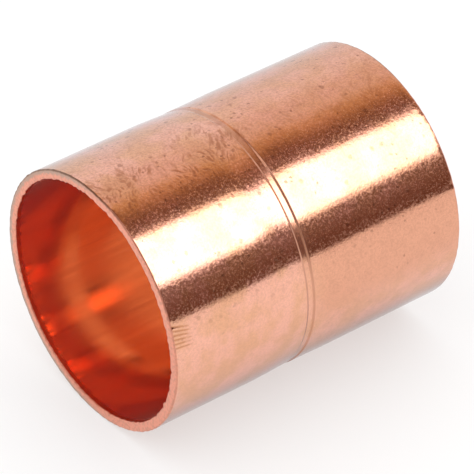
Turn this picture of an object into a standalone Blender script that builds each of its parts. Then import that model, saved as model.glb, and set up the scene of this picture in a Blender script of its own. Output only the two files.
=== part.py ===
"""Straight copper coupling for 28 mm tube, with soldered sockets and a rolled tube stop.

The fitting is one piece of drawn copper tube.  Both ends are sized to sockets, the ends are cut
square, and a ring rolled into the wall near the middle makes the stop that a tube butts against.
Its bore axis lies along +X, with the origin half way along the axis, and +Z points up.
"""
import math

import bpy

MM = 0.001

# Driving dimensions
LENGTH = 38.6 * MM            # cut end to cut end
SOCKET_OUTER_R = 15.2 * MM    # outside of both sockets
WALL = 1.15 * MM              # leaves a 28.1 mm bore for 28 mm tube
BORE_R = SOCKET_OUTER_R - WALL
GROOVE_X = -1.25 * MM         # middle of the rolled groove, measured from mid length
GROOVE_SINK = 0.23 * MM       # how far the groove's floor lies below the sockets' outside
GROOVE_FLOOR = 0.58 * MM      # width of the groove's flat floor
GROOVE_FLANK = 0.25 * MM      # width of each flank, from the floor to the shoulder
NECK_DEPTH = (0.14 * MM, 0.09 * MM)   # how far the -X and +X shoulders lie below the sockets
NECK_REACH = (5.0 * MM, 6.5 * MM)     # distance from the groove over which that fades out
STOP_X = -1.65 * MM           # crest of the tube stop, the bead that the groove raises inside
STOP_HEIGHT = 0.48 * MM       # how far the crest stands into the bore
STOP_FLANK = (3.0 * MM, 3.4 * MM)     # length of the bead's -X and +X slopes
OUTER_EDGE_R = 0.15 * MM      # edge break outside the cut ends
INNER_EDGE_R = 0.16 * MM      # edge break inside the cut ends

# Resolution
TURN_STEPS = 64
STOP_STEPS = 6
FLANK_STEPS = 3
NECK_STEPS = 3
EDGE_STEPS = 2

COPPER_COLOUR = (0.90, 0.50, 0.37, 1.0)
COPPER_ROUGHNESS = 0.22

COLLECTION_NAME = "copper_straight_coupling"
BODY_NAME = "coupling_body"


def clear_scene():
    """Remove every object of the start-up scene."""
    for obj in list(bpy.data.objects):
        bpy.data.objects.remove(obj, do_unlink=True)


def make_collection():
    """Return the collection that holds the fitting."""
    collection = bpy.data.collections.new(COLLECTION_NAME)
    bpy.context.scene.collection.children.link(collection)
    return collection


def copper_material():
    """Bright drawn copper."""
    material = bpy.data.materials.new("drawn_copper")
    material.use_nodes = True
    shader = material.node_tree.nodes["Principled BSDF"]
    shader.inputs["Base Color"].default_value = COPPER_COLOUR
    shader.inputs["Metallic"].default_value = 1.0
    shader.inputs["Roughness"].default_value = COPPER_ROUGHNESS
    return material


def cosine_fade(distance, flat, slope):
    """Height from 1 to 0: level for a distance of flat, then a cosine slope of the given width."""
    t = min(max((distance - flat) / slope, 0.0), 1.0)
    return 0.5 * (1.0 + math.cos(math.pi * t))


def pick_side(offset, pair):
    """The first of a pair of values on the -X side of a place, the second on its +X side."""
    return pair[0] if offset < 0.0 else pair[1]


def outer_radius(x):
    """Outside of the wall: the sockets, the shallow neck and the groove rolled into it."""
    offset = x - GROOVE_X
    depth = pick_side(offset, NECK_DEPTH)
    neck = depth * cosine_fade(abs(offset), 0.0, pick_side(offset, NECK_REACH))
    groove = (GROOVE_SINK - depth) * cosine_fade(abs(offset), GROOVE_FLOOR / 2, GROOVE_FLANK)
    return SOCKET_OUTER_R - neck - groove


def inner_radius(x):
    """Inside of the wall: the bore, with the stop standing into it."""
    offset = x - STOP_X
    return BORE_R - STOP_HEIGHT * cosine_fade(abs(offset), 0.0, pick_side(offset, STOP_FLANK))


def spaced(start, stop, steps):
    """Evenly spaced values after start, up to stop."""
    return [start + (stop - start) * i / steps for i in range(1, steps + 1)]


def bore_points():
    """Points (x, radius) along the bore, from the -X socket to the +X socket."""
    to_left, to_right = (spaced(0.0, flank, STOP_STEPS) for flank in STOP_FLANK)
    places = [STOP_X - d for d in reversed(to_left)] + [STOP_X] + [STOP_X + d for d in to_right]
    return [(x, inner_radius(x)) for x in places]


def outside_points():
    """Points (x, radius) along the outside, from the -X socket to the +X socket."""
    half = GROOVE_FLOOR / 2
    shoulder = half + GROOVE_FLANK
    flank = [half] + spaced(half, shoulder, FLANK_STEPS)
    to_left, to_right = (flank + spaced(shoulder, reach, NECK_STEPS) for reach in NECK_REACH)
    places = [GROOVE_X - d for d in reversed(to_left)] + [GROOVE_X + d for d in to_right]
    return [(x, outer_radius(x)) for x in places]


def edge_arc(x, radius, round_r, start_deg):
    """Quarter circle that breaks an edge; x and radius are its centre."""
    points = []
    for i in range(EDGE_STEPS + 1):
        angle = math.radians(start_deg + 90.0 * i / EDGE_STEPS)
        points.append((x + round_r * math.cos(angle), radius + round_r * math.sin(angle)))
    return points


def wall_section():
    """Closed outline (x, radius) of the wall: the bore from -X to +X, then the outside back."""
    end = LENGTH / 2
    outline = bore_points()
    outline += edge_arc(end - INNER_EDGE_R, BORE_R + INNER_EDGE_R, INNER_EDGE_R, -90.0)
    outline += edge_arc(end - OUTER_EDGE_R, SOCKET_OUTER_R - OUTER_EDGE_R, OUTER_EDGE_R, 0.0)
    outline += reversed(outside_points())
    outline += edge_arc(OUTER_EDGE_R - end, SOCKET_OUTER_R - OUTER_EDGE_R, OUTER_EDGE_R, 90.0)
    outline += edge_arc(INNER_EDGE_R - end, BORE_R + INNER_EDGE_R, INNER_EDGE_R, 180.0)
    return outline


def turned_body(collection):
    """The fitting itself: the wall's section turned about the bore axis.

    The section is drawn with the bore axis along local Z, and the object is laid over so that
    local Z becomes +X.  The section starts half a facet round, which puts a facet, not an edge,
    at the bottom where the fitting rests.
    """
    half_facet = math.pi / TURN_STEPS
    points = [
        (radius * math.cos(half_facet), radius * math.sin(half_facet), x)
        for x, radius in wall_section()
    ]
    edges = [(i, (i + 1) % len(points)) for i in range(len(points))]
    mesh = bpy.data.meshes.new(BODY_NAME)
    mesh.from_pydata(points, edges, [])
    mesh.materials.append(copper_material())

    body = bpy.data.objects.new(BODY_NAME, mesh)
    collection.objects.link(body)
    body.rotation_euler = (0.0, math.radians(90.0), 0.0)

    turn = body.modifiers.new("turn", "SCREW")
    turn.axis = "Z"
    turn.angle = 2.0 * math.pi
    turn.steps = TURN_STEPS
    turn.render_steps = TURN_STEPS
    turn.use_merge_vertices = True
    turn.merge_threshold = 0.00001
    turn.use_smooth_shade = True
    return body


def main():
    clear_scene()
    turned_body(make_collection())


main()
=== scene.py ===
"""Looks of the copper straight coupling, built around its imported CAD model.

The fitting lies on its side with its bore axis along +X.  Angles round the axis are measured
from straight up, towards -Y, which is the side that faces the camera.
"""

import math

import bpy
import numpy as np
from mathutils import Matrix, Vector


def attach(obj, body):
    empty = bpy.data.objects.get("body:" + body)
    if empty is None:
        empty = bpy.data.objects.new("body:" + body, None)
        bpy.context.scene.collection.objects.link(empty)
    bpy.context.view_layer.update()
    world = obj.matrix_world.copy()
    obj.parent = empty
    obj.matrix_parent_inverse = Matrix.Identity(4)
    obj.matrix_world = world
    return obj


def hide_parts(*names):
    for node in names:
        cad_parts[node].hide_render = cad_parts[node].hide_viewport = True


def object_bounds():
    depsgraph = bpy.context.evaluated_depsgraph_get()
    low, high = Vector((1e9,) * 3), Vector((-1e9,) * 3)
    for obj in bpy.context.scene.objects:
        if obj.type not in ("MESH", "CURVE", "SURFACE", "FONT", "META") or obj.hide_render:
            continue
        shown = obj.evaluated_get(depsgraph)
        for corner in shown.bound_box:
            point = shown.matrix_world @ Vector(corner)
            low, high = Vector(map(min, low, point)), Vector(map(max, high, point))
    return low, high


MM = 0.001
NODE = "coupling_body"

# Wall details that the CAD model's box doesn't give
GROOVE_SINK = 0.23 * MM       # the groove's floor, below the sockets' outside
GROOVE_FLOOR = 0.58 * MM
GROOVE_FLANK = 0.25 * MM
GROOVE_FADE = 0.14 * MM       # how much shallower the groove is on its shallow side
GROOVE_DEEPEST_DEG = 70.0
GROOVE_SHIFT = 0.40 * MM      # from the stop's crest to the middle of the groove
STOP_HEIGHT = 0.48 * MM       # the bead that rolling the groove raised in the bore
STOP_FLANK = (3.0 * MM, 3.4 * MM)     # its two slopes, -X and +X
NECK_DEPTH = (0.14 * MM, 0.09 * MM)   # at the groove's two shoulders, -X and +X
NECK_REACH = (5.0 * MM, 6.5 * MM)
OUTER_EDGE_R = 0.15 * MM
INNER_EDGE_R = 0.16 * MM

# Tool marks pressed into the rim of the -X end
MARK_COUNT = 6
MARK_FIRST_DEG = 68.6
MARK_PITCH_DEG = 1.95
MARK_LENGTH = 3.0 * MM
MARK_TWIST_DEG_PER_MM = (1.20, 0.45)  # of the first mark and the last: they fan together
MARK_WIDTH = 0.13 * MM        # from the middle to where a mark is 0.6 of its depth
MARK_DEPTH = 0.030 * MM
MARK_DEPTHS = (0.60, 1.20)    # of the first mark and the last, as shares of that depth
MARK_LEVEL = 0.35             # share of a mark's length before it begins to fade out
MARK_ALTERNATES = 0.18        # how much shorter every second mark is, as a share
MARK_SHORTENS = 0.04          # how much shorter each mark is than the one above, as a share

# Other small irregularities
OVAL = 0.020 * MM             # out of round, at the open ends
OVAL_TURN = 0.6               # radians
GROOVE_RIPPLE = 0.020 * MM    # in the groove's depth, round the ring
GROOVE_WAVES = (2, 9)         # fewest and most waves round the ring, here and below
FACE_WAVE = 0.012 * MM        # of the sawn faces, along the tube
FACE_WAVES = (2, 14)
FACE_REACH = 0.9 * MM
BURR_REACH = (0.05 * MM, 0.35 * MM)   # the burr is level for the first, then fades over the second
BURR_WAVES = ((20, 120), (20, 110))   # in the bore, outside
BURRS = ((-1.0, 0.050 * MM, 0.018 * MM), (1.0, 0.022 * MM, 0.010 * MM))   # end, in the bore, outside
DENT_COUNT = 70
DENT_ACROSS = (0.18 * MM, 0.5 * MM)
DENT_STRETCH = (1.0, 2.2)     # length along the tube, as a share of the distance across
DENT_DEPTH = (0.010, 0.022)   # as a share of the distance across
SEED = 11

# Mesh density. A spacing says how far fine stations reach from the stop or the groove, their
# step and the step elsewhere
BORE_SPACING = (3.4 * MM, 0.17 * MM, 0.8 * MM)
OUTSIDE_SPACING = (0.9 * MM, 0.045 * MM, 0.55 * MM)
RIM_REACH = 3.2 * MM          # the part of the outside with the tool marks
RIM_STEP = 0.15 * MM
SAME_POINT = 0.002 * MM
COLUMN_DEG = 1.0
FINE_COLUMN_DEG = 0.225
FINE_FROM_DEG = 66.0
FINE_TO_DEG = 82.0

# Colours of the metal
COPPER = (0.905, 0.462, 0.337, 1.0)
COPPER_DEEP = (0.815, 0.418, 0.252, 1.0)
COPPER_FAR = (0.78, 0.375, 0.24, 1.0)     # lower flank of the +X half
EDGE_TINT = (0.75, 0.84, 0.91, 1.0)       # what the metal reflects at a grazing angle
STROKE_BROWN = (0.52, 0.215, 0.115, 1.0)
MARK_BROWN = (0.52, 0.20, 0.085, 1.0)
# Oxide of the pits, specks and mottling; also the colour of the painted shade in the groove's corners
# and on the underside
OXIDE_AND_SHADE = (0.36, 0.15, 0.09, 1.0)
BORE = (0.885, 0.335, 0.18, 1.0)
BORE_DEEP = (0.80, 0.275, 0.14, 1.0)
BORE_FAR_LIT = (0.85, 0.432, 0.207, 1.0)      # beyond the stop: a lighter, yellower copy of the bore's copper, as painted light
BORE_FAR_DEEP = (0.66, 0.28, 0.123, 1.0)
# Painted shade just inside the bore's open ends
BORE_EDGE_SHADE = (0.62, 0.08, 0.03, 1.0)
CUT_FACE = (0.86, 0.36, 0.25, 1.0)
CUT_FACE_DEEP = (0.68, 0.30, 0.21, 1.0)
CUT_GRIME = (0.46, 0.33, 0.26, 1.0)
# Painted shade along the rounded outer edge of the sawn ends
CUT_EDGE_SHADE = (0.22, 0.12, 0.08, 1.0)

# Patterns of the metal, in features per metre
CLOUDS = 260.0
GRAIN = 3400.0
MOTTLE = 900.0
SPECKLE = 3700.0
RELIEF = 4200.0
BUMPS = 2600.0
STROKE = 2500.0
STROKE_BENDS = 600.0
STROKE_PATCHES = 300.0
STROKE_LEANS = 330.0          # patches that lean the same way
PITS = 620.0
SPECKS = 1150.0
SPECK_CLUSTERS = 200.0
RAGGED_SPOTS = 2500.0
RAGGED_MARKS = 1400.0
BORE_FINE = 5200.0
BORE_LINES = 1500.0
BORE_STREAKS = 1100.0
BORE_HAIRLINES = 2300.0
BORE_RAGGED = 1800.0
CUT_MARKS = 2600.0
CUT_BLOTCHES = 1500.0

# How far each kind of stain, and each painted shade, covers the copper
STROKE_STAIN = 0.85
MARK_STAIN = 0.66
MOTTLE_STAIN = 0.13
PIT_STAIN = 0.65
SPECK_STAIN = 0.85
SMEAR_STAIN = 0.40            # a soft band along the groove
CORNER_SHADE = 0.42           # painted shade in the groove's two corners
UNDERSIDE_SHADE = 0.36             # painted shade on the underside, towards where it lies on the floor
BORE_STAIN = 0.45
# Painted shade just inside the bore's open ends
LIP_SHADE = 0.90

STROKE_TURNS_DEG = (62.0, 92.0, 124.0)    # how the three kinds of stroke lean from the tube's axis

# Places on the metal: the X, Y or Z where a look begins and where it is full
ON_TOP_Z = (-2.0 * MM, 13.0 * MM)
NEAR_HALF_X = (3.0 * MM, -4.0 * MM)
FAR_HALF_X = (-3.0 * MM, 2.0 * MM)
FLANK_TOP_Z = (9.0 * MM, 6.0 * MM)
FLANK_FOOT_Z = (-4.0 * MM, 0.5 * MM)
STROKES_FRONT_Y = (-8.0 * MM, -4.0 * MM)
STROKES_BACK_Y = (4.0 * MM, -1.0 * MM)
SPECKS_X = (4.0 * MM, 7.0 * MM)
SPECKS_Z = (-2.0 * MM, 1.0 * MM)
UNDERSIDE_SHADE_Z = (-4.5 * MM, -9.0 * MM)
CORNER_Y = (1.0 * MM, -4.0 * MM)
SMEAR_Y = (-7.0 * MM, -3.0 * MM)
BEYOND_STOP_X = (-5.2 * MM, -2.4 * MM)
LIP_FROM_END = (0.95 * MM, 0.70 * MM)
CUT_EDGE_Y = (-8.0 * MM, 0.0)
CUT_GRIME_Y = (-5.0 * MM, 5.0 * MM)

# Roughness, haze and the depth of fine relief
BRIGHT_ROUGH = 0.055
GRAIN_ROUGH = 0.16            # what the grain adds to that
GROOVE_ROUGH = 0.16
CORNER_ROUGH = 0.30
SMEAR_ROUGH = 0.30
STROKE_ROUGH = 0.26
SPECKLE_ROUGH = 0.26
BORE_ROUGH = (0.10, 0.15)     # least and most
LIP_ROUGH = 0.4
CUT_ROUGH = 0.34
HAZE = 0.25
HAZE_ROUGH = 0.35
BORE_HAZE_ROUGH = 0.8
OUTSIDE_RELIEF = 0.0025 * MM
BORE_RELIEF = 0.004 * MM
CUT_RELIEF = 0.012 * MM

# What the metal reflects, by how far round from the backdrop's foot, over the top, to the front
BACKDROP_CLIMB = (
    (0.0, (1.0, 1.03, 1.04)),
    (30.0, (1.0, 1.01, 1.03)),
    (42.6, (0.90, 0.80, 0.76)),
    (50.0, (0.88, 0.77, 0.71)),
    (55.2, (0.84, 0.69, 0.57)),
    (59.5, (0.74, 0.51, 0.29)),
    (63.8, (0.60, 0.365, 0.195)),
    (68.0, (0.39, 0.22, 0.12)),
    (73.0, (0.25, 0.13, 0.09)),
    (90.0, (0.20, 0.105, 0.077)),
    (180.0, (0.18, 0.095, 0.072)),
)
ROOM_LIGHT = 1.27             # what unshiny surfaces receive, the same from all sides
FLOOR_SIZE = 8.0              # metres
FLOOR_ALBEDO = 0.44
FLOOR_GLOW = 0.51             # the floor also glows, so shadows stay faint

# Soft oval lights: angle across, from straight up towards the camera's side; angle along, from
# square to the axis towards +X; the half widths of both; radiance
SOFTBOX = (37.0, 25.0, 21.2, 14.5, 3.7)
TOP_STRIP = (6.0, -22.0, 13.0, 13.0, 1.6)
GLOW = (41.0, 20.0, 34.0, 45.0, 0.08)     # what spills round the softbox
LIGHT_EDGE = 0.20             # softness of a light's edge, as a share of its half width

# Soft fill in the dark part of the studio, towards both ends of the tube
FILL = 0.30                   # radiance
FILL_MINUS_X = (0.24, -0.10)  # from none to all of it, by the X of the direction
FILL_PLUS_X = (0.72, 0.95)
FILL_CLIMB_DEG = (52.0, 78.0)

# Camera, from the middle of the fitting
CAMERA_AZIMUTH_DEG = -37.65
CAMERA_ELEVATION_DEG = 37.82
CAMERA_DISTANCE = 0.4362
CAMERA_LENS = 303.8
AIM_RIGHT = 0.29 * MM
AIM_DOWN = 0.33 * MM
CLIP_START = 0.01

# Light has to bounce many times to work its way out of the bore
MAX_BOUNCES = 24
GLOSSY_BOUNCES = 20
DIFFUSE_BOUNCES = 4


# ---------------------------------------------------------------- geometry

def cosine_fade(distance, flat, slope):
    """Height from 1 to 0: level for a distance of flat, then a cosine slope of the given width."""
    t = np.clip((np.abs(distance) - flat) / slope, 0.0, 1.0)
    return 0.5 * (1.0 + np.cos(np.pi * t))


def measure_cad(node):
    """Read the wall's driving sizes off the CAD solid."""
    points = np.array([v.co[:] for v in node.data.vertices])
    x = points[:, 0]
    radius = np.hypot(points[:, 1], points[:, 2])
    end = float(x.max())
    close = 0.001 * MM
    at_socket = np.abs(x) > 0.8 * end
    on_face = np.abs(x) > end - close
    face_mid = 0.5 * (radius[on_face].min() + radius[on_face].max())
    crest = radius < radius.min() + close
    stop_x = float(0.5 * (x[crest].min() + x[crest].max()))
    return {
        "end": end,
        "outer": float(radius.max()),
        "bore": float(radius[at_socket & (radius < face_mid)].min()),
        "stop": stop_x,
        "groove": stop_x + GROOVE_SHIFT,
    }


def spaced(start, stop, step):
    """Evenly spaced stations from start to stop, both ends in, no wider apart than step."""
    count = max(int(math.ceil(abs(stop - start) / step)), 1)
    return np.linspace(start, stop, count + 1)


def side_stations(start, stop, centre, spacing):
    """Stations along one side of the wall, fine round a centre and coarse elsewhere."""
    reach, fine, coarse = spacing
    parts = [
        spaced(start, centre - reach, coarse)[:-1],
        spaced(centre - reach, centre + reach, fine),
        spaced(centre + reach, stop, coarse)[1:],
    ]
    return np.concatenate(parts)


def edge_arc(x, radius, round_r, start_deg, steps=5):
    """Quarter circle that breaks an edge; x and radius are its centre."""
    angles = np.radians(np.linspace(start_deg, start_deg + 90.0, steps + 1))
    return x + round_r * np.cos(angles), radius + round_r * np.sin(angles)


def outer_sink(from_groove):
    """How far the outside lies below the sockets: a neck on each side of the rolled groove."""
    sink = np.zeros(from_groove.shape)
    for side, depth, reach in zip((-1.0, 1.0), NECK_DEPTH, NECK_REACH):
        neck = depth * cosine_fade(from_groove, 0.0, reach)
        groove = (GROOVE_SINK - depth) * cosine_fade(from_groove, GROOVE_FLOOR / 2, GROOVE_FLANK)
        sink = np.where(from_groove * side >= 0.0, neck + groove, sink)
    return sink


def stop_height(from_stop):
    """Height of the tube stop above the bore: one smooth bead."""
    height = np.zeros(from_stop.shape)
    for side, flank in zip((-1.0, 1.0), STOP_FLANK):
        slope = STOP_HEIGHT * cosine_fade(from_stop, 0.0, flank)
        height = np.where(from_stop * side >= 0.0, slope, height)
    return height


def wall_section(size):
    """Closed section of the wall: arrays of x, radius and the name of the zone of each point."""
    end, stop_x, groove_x = size["end"], size["stop"], size["groove"]
    bore_x = side_stations(INNER_EDGE_R - end, end - INNER_EDGE_R, stop_x, BORE_SPACING)
    rim_x = spaced(OUTER_EDGE_R - end, RIM_REACH - end, RIM_STEP)[:-1]
    rest_x = side_stations(RIM_REACH - end, end - OUTER_EDGE_R, groove_x, OUTSIDE_SPACING)
    out_x = np.concatenate([rim_x, rest_x])[::-1]

    inner_edge = size["bore"] + INNER_EDGE_R
    outer_edge = size["outer"] - OUTER_EDGE_R
    pieces = [
        ("bore", bore_x, size["bore"] - stop_height(bore_x - stop_x)),
        ("cut", *edge_arc(end - INNER_EDGE_R, inner_edge, INNER_EDGE_R, -90.0)),
        ("cut", *edge_arc(end - OUTER_EDGE_R, outer_edge, OUTER_EDGE_R, 0.0)),
        ("outside", out_x, size["outer"] - outer_sink(out_x - groove_x)),
        ("cut", *edge_arc(OUTER_EDGE_R - end, outer_edge, OUTER_EDGE_R, 90.0)),
        ("cut", *edge_arc(INNER_EDGE_R - end, inner_edge, INNER_EDGE_R, 180.0)),
    ]
    x, radius, zone = [], [], []
    for name, piece_x, piece_radius in pieces:
        for px, pr in zip(piece_x, piece_radius):
            if x and math.hypot(px - x[-1], pr - radius[-1]) < SAME_POINT:
                zone[-1] = name if name != "cut" else zone[-1]
                continue
            x.append(px)
            radius.append(pr)
            zone.append(name)
    if math.hypot(x[0] - x[-1], radius[0] - radius[-1]) < SAME_POINT:
        x.pop()
        radius.pop()
        zone.pop()
    return np.array(x), np.array(radius), zone


def column_angles():
    """Angles of the mesh columns, closer together where the tool marks are."""
    fine = spaced(FINE_FROM_DEG, FINE_TO_DEG, FINE_COLUMN_DEG)
    coarse = spaced(FINE_TO_DEG, FINE_FROM_DEG + 360.0, COLUMN_DEG)[1:-1]
    return np.radians(np.concatenate([fine, coarse]))


def ring_noise(angles, lowest, highest, rng):
    """Smooth random ripple round the ring, with a root mean square of 1."""
    waves = np.arange(lowest, highest + 1)
    phase = rng.uniform(0.0, 2.0 * np.pi, len(waves))
    ripple = np.sin(waves[:, None] * angles[None, :] + phase[:, None]).sum(axis=0)
    return ripple / math.sqrt(len(waves) / 2.0)


def wrapped(delta):
    """An angle difference brought into -pi to pi."""
    return (delta + np.pi) % (2.0 * np.pi) - np.pi


def tool_marks(x, angle, size):
    """Depth of the short grooves that a clamping jaw left at the rim."""
    from_rim = x + size["end"]
    depth = np.zeros(np.broadcast(x, angle).shape)
    for i in range(MARK_COUNT):
        along = MARK_LENGTH * (1.0 - MARK_ALTERNATES * (i % 2) - MARK_SHORTENS * i)
        twist = np.interp(i, (0, MARK_COUNT - 1), MARK_TWIST_DEG_PER_MM)
        deep = MARK_DEPTH * np.interp(i, (0, MARK_COUNT - 1), MARK_DEPTHS)
        centre = MARK_FIRST_DEG + MARK_PITCH_DEG * i + twist * from_rim / MM
        across = wrapped(angle - np.radians(centre)) * size["outer"]
        reach = cosine_fade(from_rim, MARK_LEVEL * along, (1.0 - MARK_LEVEL) * along)
        depth += deep * reach * np.exp(-0.5 * (across / MARK_WIDTH) ** 2)
    return depth


def dents(x, angle, size, rng):
    """Depth of small handling dents scattered over the outside."""
    depth = np.zeros(np.broadcast(x, angle).shape)
    for _ in range(DENT_COUNT):
        at_x = rng.uniform(-0.95, 0.95) * size["end"]
        at_angle = rng.uniform(0.0, 2.0 * np.pi)
        across = rng.uniform(*DENT_ACROSS)
        along = across * rng.uniform(*DENT_STRETCH)
        deep = across * rng.uniform(*DENT_DEPTH)
        u = (x - at_x) / along
        v = wrapped(angle - at_angle) * size["outer"] / across
        depth += deep * np.exp(-0.5 * (u * u + v * v))
    return depth


def roughen(X, R, A, angle, outside, size):
    """Give the even wall its irregularities: X, R and A are the mesh's x, radius and angle."""
    rng = np.random.default_rng(SEED)
    mid_wall = 0.5 * (size["outer"] + size["bore"])
    # Slightly out of round, more so at the open ends
    open_end = np.clip(np.abs(X) / size["end"], 0.0, 1.0) ** 2
    R += OVAL * open_end * np.cos(2.0 * (A - OVAL_TURN))
    # The groove's depth varies round the ring, deepest towards -Y and least at the back
    groove = cosine_fade(X - size["groove"], GROOVE_FLOOR / 2, GROOVE_FLANK)
    shallow = GROOVE_RIPPLE * ring_noise(angle, *GROOVE_WAVES, rng)
    shallow += GROOVE_FADE * (1.0 - np.cos(angle - np.radians(GROOVE_DEEPEST_DEG))) / 2
    R += np.where(outside, groove * shallow[None, :], 0.0)
    R -= np.where(outside, tool_marks(X, A, size), 0.0)
    R -= np.where(outside, dents(X, A, size, rng), 0.0)
    # The sawn ends: a slow waviness of the face, and a fine burr in the bore and outside
    for side, bore_burr, outer_burr in BURRS:
        at_face = cosine_fade(X - side * size["end"], 0.0, FACE_REACH)
        X += side * at_face * FACE_WAVE * ring_noise(angle, *FACE_WAVES, rng)[None, :]
        burr = cosine_fade(X - side * size["end"], *BURR_REACH)
        bore_ripple = bore_burr * ring_noise(angle, *BURR_WAVES[0], rng)[None, :]
        outer_ripple = outer_burr * ring_noise(angle, *BURR_WAVES[1], rng)[None, :]
        ripple = np.where(R < mid_wall, bore_ripple, 0.0)
        ripple += np.where(R > mid_wall, outer_ripple, 0.0)
        R += burr * ripple


def build_mesh(size):
    """The whole wall as one closed mesh, with the small irregularities of a real fitting."""
    x, radius, zone = wall_section(size)
    angle = column_angles()
    rows, columns = len(x), len(angle)
    X = np.repeat(x[:, None], columns, axis=1)
    R = np.repeat(radius[:, None], columns, axis=1)
    A = np.repeat(angle[None, :], rows, axis=0)
    outside = np.array([name == "outside" for name in zone])[:, None]
    roughen(X, R, A, angle, outside, size)

    points = np.stack([X, -R * np.sin(A), R * np.cos(A)], axis=-1).reshape(-1, 3)
    index = np.arange(rows * columns).reshape(rows, columns)
    below = np.roll(index, -1, axis=0)
    corners = [index, below, np.roll(below, -1, axis=1), np.roll(index, -1, axis=1)]
    faces = np.stack(corners, axis=-1).reshape(-1, 4)

    mesh = bpy.data.meshes.new("coupling")
    mesh.from_pydata(points.tolist(), [], faces.tolist())
    slots = {"outside": 0, "bore": 1, "cut": 2}
    face_slot = []
    for i in range(rows):
        pair = {zone[i], zone[(i + 1) % rows]}
        name = "cut" if "cut" in pair else zone[i]
        face_slot.append(slots[name])
    mesh.polygons.foreach_set("material_index", np.repeat(face_slot, columns).astype(np.int32))
    mesh.validate()
    mesh.shade_smooth()
    mesh.update()
    return mesh


# ---------------------------------------------------------------- materials

def add_node(tree, kind, settings=None, inputs=None):
    """Add a node. An input is a value or the output socket of another node."""
    node = tree.nodes.new(kind)
    for name, value in (settings or {}).items():
        setattr(node, name, value)
    for name, value in (inputs or {}).items():
        if isinstance(value, bpy.types.NodeSocket):
            tree.links.new(value, node.inputs[name])
        else:
            node.inputs[name].default_value = value
    return node


def object_point(tree, stretch=(1.0, 1.0, 1.0)):
    """The point on the object, in metres, with each axis stretched for a pattern."""
    coords = add_node(tree, "ShaderNodeTexCoord")
    mapping = add_node(tree, "ShaderNodeMapping", {}, {
        "Vector": coords.outputs["Object"], "Scale": stretch,
    })
    return mapping.outputs["Vector"]


def noise(tree, point, per_metre, detail=2.0, roughness=0.5):
    """Noise whose features are about 1 / per_metre across."""
    made = add_node(tree, "ShaderNodeTexNoise", {}, {
        "Vector": point, "Scale": per_metre, "Detail": detail, "Roughness": roughness,
    })
    return made.outputs["Fac"]


def remap(tree, value, low, high, to_low=0.0, to_high=1.0):
    """Change of range, clamped, with a smooth start and end."""
    made = add_node(tree, "ShaderNodeMapRange", {"interpolation_type": "SMOOTHSTEP"}, {
        "Value": value, "From Min": low, "From Max": high, "To Min": to_low, "To Max": to_high,
    })
    return made.outputs["Result"]


def calc(tree, operation, a, b=0.0, c=0.0):
    """One arithmetic step."""
    made = add_node(tree, "ShaderNodeMath", {"operation": operation})
    for socket, value in zip(made.inputs, (a, b, c)):
        if isinstance(value, bpy.types.NodeSocket):
            tree.links.new(value, socket)
        else:
            socket.default_value = value
    return made.outputs["Value"]


def times(tree, first, *others):
    """The product of all the values."""
    for other in others:
        first = calc(tree, "MULTIPLY", first, other)
    return first


def highest(tree, first, *others):
    """The largest of all the values."""
    for other in others:
        first = calc(tree, "MAXIMUM", first, other)
    return first


def split_point(tree, point):
    """The outputs X, Y and Z of a point."""
    return add_node(tree, "ShaderNodeSeparateXYZ", {}, {"Vector": point}).outputs


def mix_colour(tree, factor, a, b):
    """Blend two colours."""
    made = add_node(tree, "ShaderNodeMix", {"data_type": "RGBA"})
    for socket, value in zip((made.inputs[0], made.inputs[6], made.inputs[7]), (factor, a, b)):
        if isinstance(value, bpy.types.NodeSocket):
            tree.links.new(value, socket)
        else:
            socket.default_value = value
    return made.outputs[2]


def start_material(name):
    """A metal with nothing but its shader; returns the material, its node tree and the shader."""
    material = bpy.data.materials.new(name)
    material.use_nodes = True
    shader = material.node_tree.nodes["Principled BSDF"]
    shader.inputs["Metallic"].default_value = 1.0
    return material, material.node_tree, shader


def add_bump(tree, shader, height, distance):
    """Fine relief too small to model."""
    bump = add_node(tree, "ShaderNodeBump", {}, {
        "Strength": 1.0, "Distance": distance, "Height": height,
    })
    tree.links.new(bump.outputs["Normal"], shader.inputs["Normal"])


def shifted(tree, point, metres):
    """The same point moved, so that a second pattern doesn't follow the first."""
    made = add_node(tree, "ShaderNodeVectorMath", {"operation": "ADD"}, {
        0: point, 1: (metres, -metres, metres),
    })
    return made.outputs["Vector"]


def ragged(tree, point, per_metre, reach):
    """The point pushed about by noise, to give a pattern ragged outlines."""
    made = add_node(tree, "ShaderNodeTexNoise", {}, {"Vector": point, "Scale": per_metre, "Detail": 2.0})
    push = add_node(tree, "ShaderNodeVectorMath", {"operation": "MULTIPLY_ADD"}, {
        0: made.outputs["Color"], 1: (reach, reach, reach), 2: point,
    })
    return push.outputs["Vector"]


def strokes(tree, turn_deg):
    """Short soft strokes, 1 on the stroke, leaning by an angle from the tube's axis."""
    coords = add_node(tree, "ShaderNodeTexCoord")
    turned = add_node(tree, "ShaderNodeMapping", {}, {
        "Vector": coords.outputs["Object"], "Rotation": (0.0, 0.0, math.radians(turn_deg)),
    })
    bent = ragged(tree, turned.outputs["Vector"], STROKE_BENDS, 0.7 * MM)
    long_way = add_node(tree, "ShaderNodeMapping", {}, {"Vector": bent, "Scale": (0.30, 1.0, 1.0)})
    level = noise(tree, long_way.outputs["Vector"], STROKE, 1.0)
    return remap(tree, level, 0.46, 0.68)


def brushed(tree, point):
    """Strokes that lean one way in one patch and another way in the next."""
    chooser = noise(tree, shifted(tree, point, 0.11), STROKE_LEANS, 1.0, 0.4)
    first, second, third = (strokes(tree, turn) for turn in STROKE_TURNS_DEG)
    in_first = remap(tree, chooser, 0.47, 0.42)
    in_third = remap(tree, chooser, 0.53, 0.58)
    in_second = times(tree, remap(tree, chooser, 0.42, 0.47), remap(tree, chooser, 0.58, 0.53))
    return highest(
        tree,
        times(tree, first, in_first),
        times(tree, second, in_second),
        times(tree, third, in_third),
    )


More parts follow.
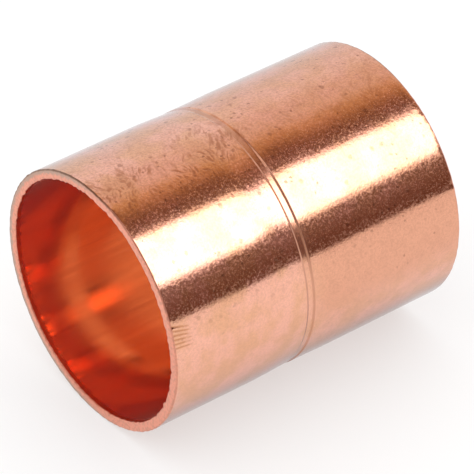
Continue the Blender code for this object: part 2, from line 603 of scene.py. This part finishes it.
def stroke_field(tree, point, place):
    """The brushed strokes where they show: in patches, mostly on top of the -X half."""
    near_half = remap(tree, place["X"], *NEAR_HALF_X, 0.45, 1.0)
    above_flank = remap(tree, place["Y"], *STROKES_FRONT_Y)
    towards_back = remap(tree, place["Y"], *STROKES_BACK_Y, 0.25, 1.0)
    patches = noise(tree, shifted(tree, point, 0.05), STROKE_PATCHES)
    patches = remap(tree, patches, 0.40, 0.56, 0.20, 1.0)
    return times(tree, brushed(tree, point), patches, near_half, above_flank, towards_back)


def spots(tree, point, per_metre, radius, share):
    """Scattered spots, 1 inside; radius and share are parts of a cell and of all the cells."""
    cells = add_node(tree, "ShaderNodeTexVoronoi", {}, {"Vector": point, "Scale": per_metre})
    chance = add_node(tree, "ShaderNodeSeparateColor", {}, {"Color": cells.outputs["Color"]})
    inside = remap(tree, cells.outputs["Distance"], radius, 0.5 * radius)
    return calc(tree, "MULTIPLY", inside, calc(tree, "LESS_THAN", chance.outputs["Red"], share))


def mark_lines(tree, place, end):
    """1 along the tool marks at the -X rim and 0 between them."""
    first, last = MARK_TWIST_DEG_PER_MM
    from_rim = calc(tree, "ADD", place["X"], end)
    angle = calc(tree, "ARCTAN2", calc(tree, "MULTIPLY", place["Y"], -1.0), place["Z"])
    from_first = calc(tree, "SUBTRACT", angle, math.radians(MARK_FIRST_DEG))
    from_first = calc(tree, "MULTIPLY_ADD", from_rim, -math.radians(first) / MM, from_first)
    fan = math.radians(last - first) / MM / (MARK_COUNT - 1)
    pitch = calc(tree, "MULTIPLY_ADD", from_rim, fan, math.radians(MARK_PITCH_DEG))
    number = calc(tree, "DIVIDE", from_first, pitch)
    line = remap(tree, calc(tree, "PINGPONG", number, 0.5), 0.34, 0.08)
    from_middle = calc(tree, "ABSOLUTE", calc(tree, "SUBTRACT", number, (MARK_COUNT - 1) / 2))
    among_them = remap(tree, from_middle, MARK_COUNT / 2, MARK_COUNT / 2 - 0.3)
    uneven = noise(tree, object_point(tree), RAGGED_MARKS)
    reach = calc(tree, "MULTIPLY_ADD", uneven, -2.0 * MM, from_rim)
    return times(tree, line, among_them, remap(tree, reach, 1.5 * MM, 0.3 * MM))


def pits_and_specks(tree, point, place, on_top):
    """Stain of the pits, and of smaller specks in clusters on top and on the +X half's flank."""
    spot_point = ragged(tree, point, RAGGED_SPOTS, 0.5 * MM)
    pits = times(tree, spots(tree, spot_point, PITS, 0.24, 0.45), on_top)
    specks = spots(tree, shifted(tree, spot_point, 0.4), SPECKS, 0.24, 0.50)
    clusters = remap(tree, noise(tree, shifted(tree, point, 0.5), SPECK_CLUSTERS), 0.44, 0.54)
    far_side = remap(tree, place["X"], *SPECKS_X)
    above_foot = remap(tree, place["Z"], *SPECKS_Z, 0.0, 0.7)
    where = highest(tree, on_top, times(tree, far_side, above_foot))
    specks = times(tree, specks, clusters, where)
    return highest(tree, times(tree, pits, PIT_STAIN), times(tree, specks, SPECK_STAIN))


def groove_masks(tree, place, groove_x, mottle):
    """Where the groove's floor, its two corners and the smear along it are."""
    off_groove = calc(tree, "ABSOLUTE", calc(tree, "SUBTRACT", place["X"], groove_x))
    floor = remap(tree, off_groove, GROOVE_FLOOR / 2 + GROOVE_FLANK, GROOVE_FLOOR / 2)
    off_corner = calc(tree, "SUBTRACT", off_groove, GROOVE_FLOOR / 2 + GROOVE_FLANK / 2)
    corner = remap(tree, calc(tree, "ABSOLUTE", off_corner), 0.22 * MM, 0.05 * MM)
    corner = times(tree, corner, remap(tree, place["Y"], *CORNER_Y, 0.1, 1.0))
    smear = calc(tree, "MULTIPLY_ADD", mottle, -0.35 * MM, off_groove)
    smear = remap(tree, smear, 0.45 * MM, 0.05 * MM)
    smear = times(tree, smear, remap(tree, place["Y"], *SMEAR_Y))
    return floor, corner, smear


def outside_copper(groove_x, end):
    """Drawn and pickled copper: bright, with a fine grain, brushed strokes, pits and specks."""
    material, tree, shader = start_material("outside_copper")
    point = object_point(tree)
    place = split_point(tree, point)
    on_top = remap(tree, place["Z"], *ON_TOP_Z, 0.12, 1.0)
    far_half = remap(tree, place["X"], *FAR_HALF_X)
    clouds = noise(tree, point, CLOUDS, 3.0, 0.55)
    grain = remap(tree, noise(tree, point, GRAIN, 3.0, 0.6), 0.38, 0.72)
    mottle = remap(tree, noise(tree, point, MOTTLE, 3.0, 0.6), 0.42, 0.68)
    speckle = noise(tree, shifted(tree, point, 0.2), SPECKLE, 2.0, 0.6)
    hair = stroke_field(tree, point, place)
    floor, corner, smear = groove_masks(tree, place, groove_x, mottle)

    # Colour
    flank = remap(tree, place["Z"], *FLANK_TOP_Z, 0.30, 1.0)
    flank = times(tree, flank, remap(tree, place["Z"], *FLANK_FOOT_Z, 0.25, 1.0))
    base = mix_colour(tree, remap(tree, clouds, 0.38, 0.62), COPPER, COPPER_DEEP)
    base = mix_colour(tree, times(tree, far_half, flank), base, COPPER_FAR)
    base = mix_colour(tree, times(tree, hair, STROKE_STAIN), base, STROKE_BROWN)
    blotched = highest(tree, on_top, times(tree, far_half, 0.6))
    stain_and_shade = times(tree, mottle, blotched, MOTTLE_STAIN)
    freckles = calc(tree, "MULTIPLY_ADD", on_top, 0.17, 0.07)
    stain_and_shade = calc(tree, "MULTIPLY_ADD", remap(tree, speckle, 0.58, 0.40), freckles, stain_and_shade)
    stain_and_shade = highest(
        tree,
        stain_and_shade,
        pits_and_specks(tree, point, place, on_top),
        times(tree, smear, SMEAR_STAIN),
        # the groove's corners: painted shade
        times(tree, corner, CORNER_SHADE),
    )
    base = mix_colour(tree, stain_and_shade, base, OXIDE_AND_SHADE)
    # painted shade: the copper darkens towards the bottom, where the tube lies on the floor
    underside_shade = remap(tree, place["Z"], *UNDERSIDE_SHADE_Z, 0.0, UNDERSIDE_SHADE)
    base = mix_colour(tree, underside_shade, base, OXIDE_AND_SHADE)
    marks = times(tree, mark_lines(tree, place, end), MARK_STAIN)
    base = mix_colour(tree, marks, base, MARK_BROWN)
    tree.links.new(base, shader.inputs["Base Color"])

    # Shine: each pattern dulls the copper to a roughness of its own, under a thin haze
    rough = highest(
        tree,
        calc(tree, "MULTIPLY_ADD", grain, GRAIN_ROUGH, BRIGHT_ROUGH),
        times(tree, floor, GROOVE_ROUGH),
        times(tree, corner, CORNER_ROUGH),
        times(tree, hair, STROKE_ROUGH),
        times(tree, remap(tree, speckle, 0.42, 0.70), SPECKLE_ROUGH),
        times(tree, smear, SMEAR_ROUGH),
    )
    tree.links.new(rough, shader.inputs["Roughness"])
    shader.inputs["Specular Tint"].default_value = EDGE_TINT
    shader.inputs["Coat Weight"].default_value = HAZE
    shader.inputs["Coat Roughness"].default_value = HAZE_ROUGH

    # Relief: the strokes are sunk, and bumps stand out of a fine grain
    relief = calc(tree, "MULTIPLY_ADD", hair, -2.0, noise(tree, point, RELIEF, 2.0, 0.55))
    bumps = noise(tree, shifted(tree, point, 0.3), BUMPS, 3.0, 0.6)
    relief = calc(tree, "MULTIPLY_ADD", bumps, 2.8, relief)
    add_bump(tree, shader, relief, OUTSIDE_RELIEF)
    return material


def bore_copper(end):
    """The drawn bore: deeper in colour, with fine lines along the tube, painted shade just inside each
    end and painted light beyond the stop.
    """
    material, tree, shader = start_material("bore_copper")
    lines_point = object_point(tree, (0.02, 1.0, 1.0))
    fine = noise(tree, lines_point, BORE_FINE, 2.0, 0.6)
    lines = noise(tree, lines_point, BORE_LINES, 3.0, 0.6)
    streaks = noise(tree, shifted(tree, lines_point, 0.05), BORE_STREAKS, 4.0, 0.7)
    hairlines = noise(tree, shifted(tree, lines_point, 0.15), BORE_HAIRLINES, 2.0, 0.6)
    point = object_point(tree)
    place = split_point(tree, point)

    # painted light: beyond the stop the bore takes a lighter, yellower copper
    beyond_stop = remap(tree, place["X"], *BEYOND_STOP_X)
    worn = highest(tree, remap(tree, hairlines, 0.52, 0.58), remap(tree, streaks, 0.50, 0.62))
    near_base = mix_colour(tree, times(tree, worn, BORE_STAIN), BORE, BORE_DEEP)
    far_lit_base = mix_colour(tree, worn, BORE_FAR_LIT, BORE_FAR_DEEP)
    base = mix_colour(tree, beyond_stop, near_base, far_lit_base)

    # painted shade: a dark red-brown band just inside each open end
    from_end = calc(tree, "SUBTRACT", end, calc(tree, "ABSOLUTE", place["X"]))
    uneven = noise(tree, point, BORE_RAGGED, 2.0, 0.6)
    ragged_end = calc(tree, "MULTIPLY_ADD", uneven, 0.4 * MM, from_end)
    lip = remap(tree, ragged_end, *LIP_FROM_END)
    base = mix_colour(tree, times(tree, lip, LIP_SHADE), base, BORE_EDGE_SHADE)
    tree.links.new(base, shader.inputs["Base Color"])

    rough = remap(tree, streaks, 0.3, 0.7, *BORE_ROUGH)
    rough = highest(tree, rough, times(tree, lip, LIP_ROUGH))
    tree.links.new(rough, shader.inputs["Roughness"])
    tree.links.new(calc(tree, "MULTIPLY_ADD", lip, -0.7, 1.0), shader.inputs["Coat Weight"])
    shader.inputs["Coat Roughness"].default_value = BORE_HAZE_ROUGH
    add_bump(tree, shader, calc(tree, "MULTIPLY_ADD", fine, 0.8, lines), BORE_RELIEF)
    return material


def cut_copper(outer):
    """The sawn and tumbled ends: paler and duller, with grime and painted shade along the outer edge."""
    material, tree, shader = start_material("cut_copper")
    point = object_point(tree)
    place = split_point(tree, point)
    flat = add_node(tree, "ShaderNodeCombineXYZ", {}, {"Y": place["Y"], "Z": place["Z"]})
    length = add_node(tree, "ShaderNodeVectorMath", {"operation": "LENGTH"}, {0: flat.outputs["Vector"]})
    radius = length.outputs["Value"]
    marks = noise(tree, point, CUT_MARKS, 2.0, 0.6)
    ragged_radius = calc(tree, "MULTIPLY_ADD", marks, 0.16 * MM, radius)
    # painted shade along the rounded outer edge of the face, stronger towards +Y
    edge_shade = remap(tree, ragged_radius, outer - 0.16 * MM, outer - 0.01 * MM, 0.0, 0.9)
    edge_shade = times(tree, edge_shade, remap(tree, place["Y"], *CUT_EDGE_Y, 0.25, 1.0))
    blotches = noise(tree, point, CUT_BLOTCHES, 3.0, 0.65)
    grimy_radius = calc(tree, "MULTIPLY_ADD", blotches, 0.9 * MM, radius)
    grime = remap(tree, grimy_radius, outer - 0.25 * MM, outer + 0.10 * MM)
    grime = times(tree, grime, remap(tree, place["Y"], *CUT_GRIME_Y, 0.0, 0.85))
    base = mix_colour(tree, remap(tree, marks, 0.4, 0.7), CUT_FACE, CUT_FACE_DEEP)
    base = mix_colour(tree, grime, base, CUT_GRIME)
    base = mix_colour(tree, edge_shade, base, CUT_EDGE_SHADE)
    tree.links.new(base, shader.inputs["Base Color"])
    shader.inputs["Roughness"].default_value = CUT_ROUGH
    add_bump(tree, shader, marks, CUT_RELIEF)
    return material


# ---------------------------------------------------------------- stage

def make_floor(height):
    """Large pale floor that the fitting lies on."""
    bpy.ops.mesh.primitive_plane_add(size=FLOOR_SIZE, location=(0.0, 0.0, height))
    floor = bpy.context.object
    floor.name = "floor"
    material = bpy.data.materials.new("pale_floor")
    material.use_nodes = True
    shader = material.node_tree.nodes["Principled BSDF"]
    shader.inputs["Base Color"].default_value = (FLOOR_ALBEDO, FLOOR_ALBEDO, FLOOR_ALBEDO, 1.0)
    shader.inputs["Emission Color"].default_value = (1.0, 1.0, 1.0, 1.0)
    shader.inputs["Emission Strength"].default_value = FLOOR_GLOW
    shader.inputs["Roughness"].default_value = 0.9
    shader.inputs["Specular IOR Level"].default_value = 0.1
    floor.data.materials.append(material)


def oval_light(tree, direction, light):
    """Brightness of a soft-edged oval light, for a direction given as its split X, Y and Z."""
    centre_across, centre_along, half_across, half_along, radiance = light
    along = calc(tree, "ARCSINE", direction["X"])
    across = calc(tree, "ARCTAN2", calc(tree, "MULTIPLY", direction["Y"], -1.0), direction["Z"])
    u = calc(tree, "SUBTRACT", across, math.radians(centre_across))
    u = calc(tree, "DIVIDE", u, math.radians(half_across))
    v = calc(tree, "SUBTRACT", along, math.radians(centre_along))
    v = calc(tree, "DIVIDE", v, math.radians(half_along))
    out = calc(tree, "SQRT", calc(tree, "MULTIPLY_ADD", u, u, calc(tree, "MULTIPLY", v, v)))
    return remap(tree, out, 1.0 + LIGHT_EDGE, 1.0 - LIGHT_EDGE, 0.0, radiance)


def make_world(view_back):
    """Studio round the fitting.

    The metal reflects a pale backdrop that fades through warm to a dark ceiling and front, with
    soft oval lights and a fill.  Everything else receives plain even white light.
    """
    world = bpy.data.worlds.new("studio")
    bpy.context.scene.world = world
    world.use_nodes = True
    world.cycles.sampling_method = "NONE"
    tree = world.node_tree
    tree.nodes.clear()
    coords = add_node(tree, "ShaderNodeTexCoord")
    direction = coords.outputs["Generated"]
    split = split_point(tree, direction)
    away = Vector((-view_back.x, -view_back.y, 0.0)).normalized()
    ahead = add_node(tree, "ShaderNodeVectorMath", {"operation": "DOT_PRODUCT"}, {0: direction, 1: away})
    climb = calc(tree, "ARCTAN2", split["Z"], ahead.outputs["Value"])
    ramp = add_node(tree, "ShaderNodeValToRGB", {}, {"Fac": calc(tree, "DIVIDE", climb, math.pi)})
    stops = ramp.color_ramp.elements
    while len(stops) > 1:
        stops.remove(stops[-1])
    for i, (degrees, colour) in enumerate(BACKDROP_CLIMB):
        stop = stops[0] if i == 0 else stops.new(degrees / 180.0)
        stop.position = degrees / 180.0
        stop.color = (*colour, 1.0)
    backdrop = add_node(tree, "ShaderNodeBackground", {}, {
        "Color": ramp.outputs["Color"], "Strength": 1.0,
    })
    shine = 0.0
    for light in (SOFTBOX, TOP_STRIP, GLOW):
        shine = calc(tree, "ADD", oval_light(tree, split, light), shine)
    to_an_end = highest(
        tree,
        remap(tree, split["X"], *FILL_MINUS_X),
        remap(tree, split["X"], *FILL_PLUS_X),
    )
    fill = times(tree, to_an_end, FILL)
    dark_part = remap(tree, climb, *(math.radians(degrees) for degrees in FILL_CLIMB_DEG))
    shine = calc(tree, "MULTIPLY_ADD", fill, dark_part, shine)
    box = add_node(tree, "ShaderNodeBackground", {}, {"Strength": shine})
    box.inputs["Color"].default_value = (1.0, 1.0, 1.0, 1.0)
    shiny = add_node(tree, "ShaderNodeAddShader")
    tree.links.new(backdrop.outputs[0], shiny.inputs[0])
    tree.links.new(box.outputs[0], shiny.inputs[1])
    even = add_node(tree, "ShaderNodeBackground", {}, {
        "Color": (1.0, 1.0, 1.0, 1.0), "Strength": ROOM_LIGHT,
    })
    path = add_node(tree, "ShaderNodeLightPath")
    mix = add_node(tree, "ShaderNodeMixShader", {}, {"Fac": path.outputs["Is Glossy Ray"]})
    tree.links.new(even.outputs[0], mix.inputs[1])
    tree.links.new(shiny.outputs[0], mix.inputs[2])
    output = add_node(tree, "ShaderNodeOutputWorld")
    tree.links.new(mix.outputs[0], output.inputs["Surface"])


def make_camera(low, high):
    """Long lens, looking down on the -X end from the -Y side."""
    azimuth = math.radians(CAMERA_AZIMUTH_DEG)
    elevation = math.radians(CAMERA_ELEVATION_DEG)
    back = Vector((
        math.sin(azimuth) * math.cos(elevation),
        -math.cos(azimuth) * math.cos(elevation),
        math.sin(elevation),
    ))
    right = Vector((math.cos(azimuth), math.sin(azimuth), 0.0))
    up = back.cross(right)
    centre = (Vector(low) + Vector(high)) / 2
    aim = centre + right * AIM_RIGHT - up * AIM_DOWN
    data = bpy.data.cameras.new("camera")
    data.lens = CAMERA_LENS
    data.clip_start = CLIP_START
    camera = bpy.data.objects.new("camera", data)
    bpy.context.scene.collection.objects.link(camera)
    turn = Matrix((right, up, back)).transposed().to_4x4()
    camera.matrix_world = Matrix.Translation(aim + back * CAMERA_DISTANCE) @ turn
    bpy.context.scene.camera = camera
    return back


def set_colour_handling():
    """Plain display colours, and enough bounces of light."""
    scene = bpy.context.scene
    scene.view_settings.view_transform = "Standard"
    scene.cycles.max_bounces = MAX_BOUNCES
    scene.cycles.glossy_bounces = GLOSSY_BOUNCES
    scene.cycles.diffuse_bounces = DIFFUSE_BOUNCES


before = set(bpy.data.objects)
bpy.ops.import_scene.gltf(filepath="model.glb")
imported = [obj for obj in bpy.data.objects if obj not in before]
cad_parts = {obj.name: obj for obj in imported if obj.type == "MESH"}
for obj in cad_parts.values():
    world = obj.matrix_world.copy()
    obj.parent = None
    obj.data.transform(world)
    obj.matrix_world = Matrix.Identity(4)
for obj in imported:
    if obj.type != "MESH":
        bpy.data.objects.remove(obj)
cad_low, cad_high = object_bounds()
size = measure_cad(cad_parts[NODE])

view_back = make_camera(cad_low, cad_high)

coupling = bpy.data.objects.new("coupling", build_mesh(size))
bpy.context.scene.collection.objects.link(coupling)
coppers = (
    outside_copper(size["groove"], size["end"]),
    bore_copper(size["end"]),
    cut_copper(size["outer"]),
)
for material in coppers:
    coupling.data.materials.append(material)
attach(coupling, "root")
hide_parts(NODE)

make_floor(cad_low[2])
make_world(view_back)
set_colour_handling()
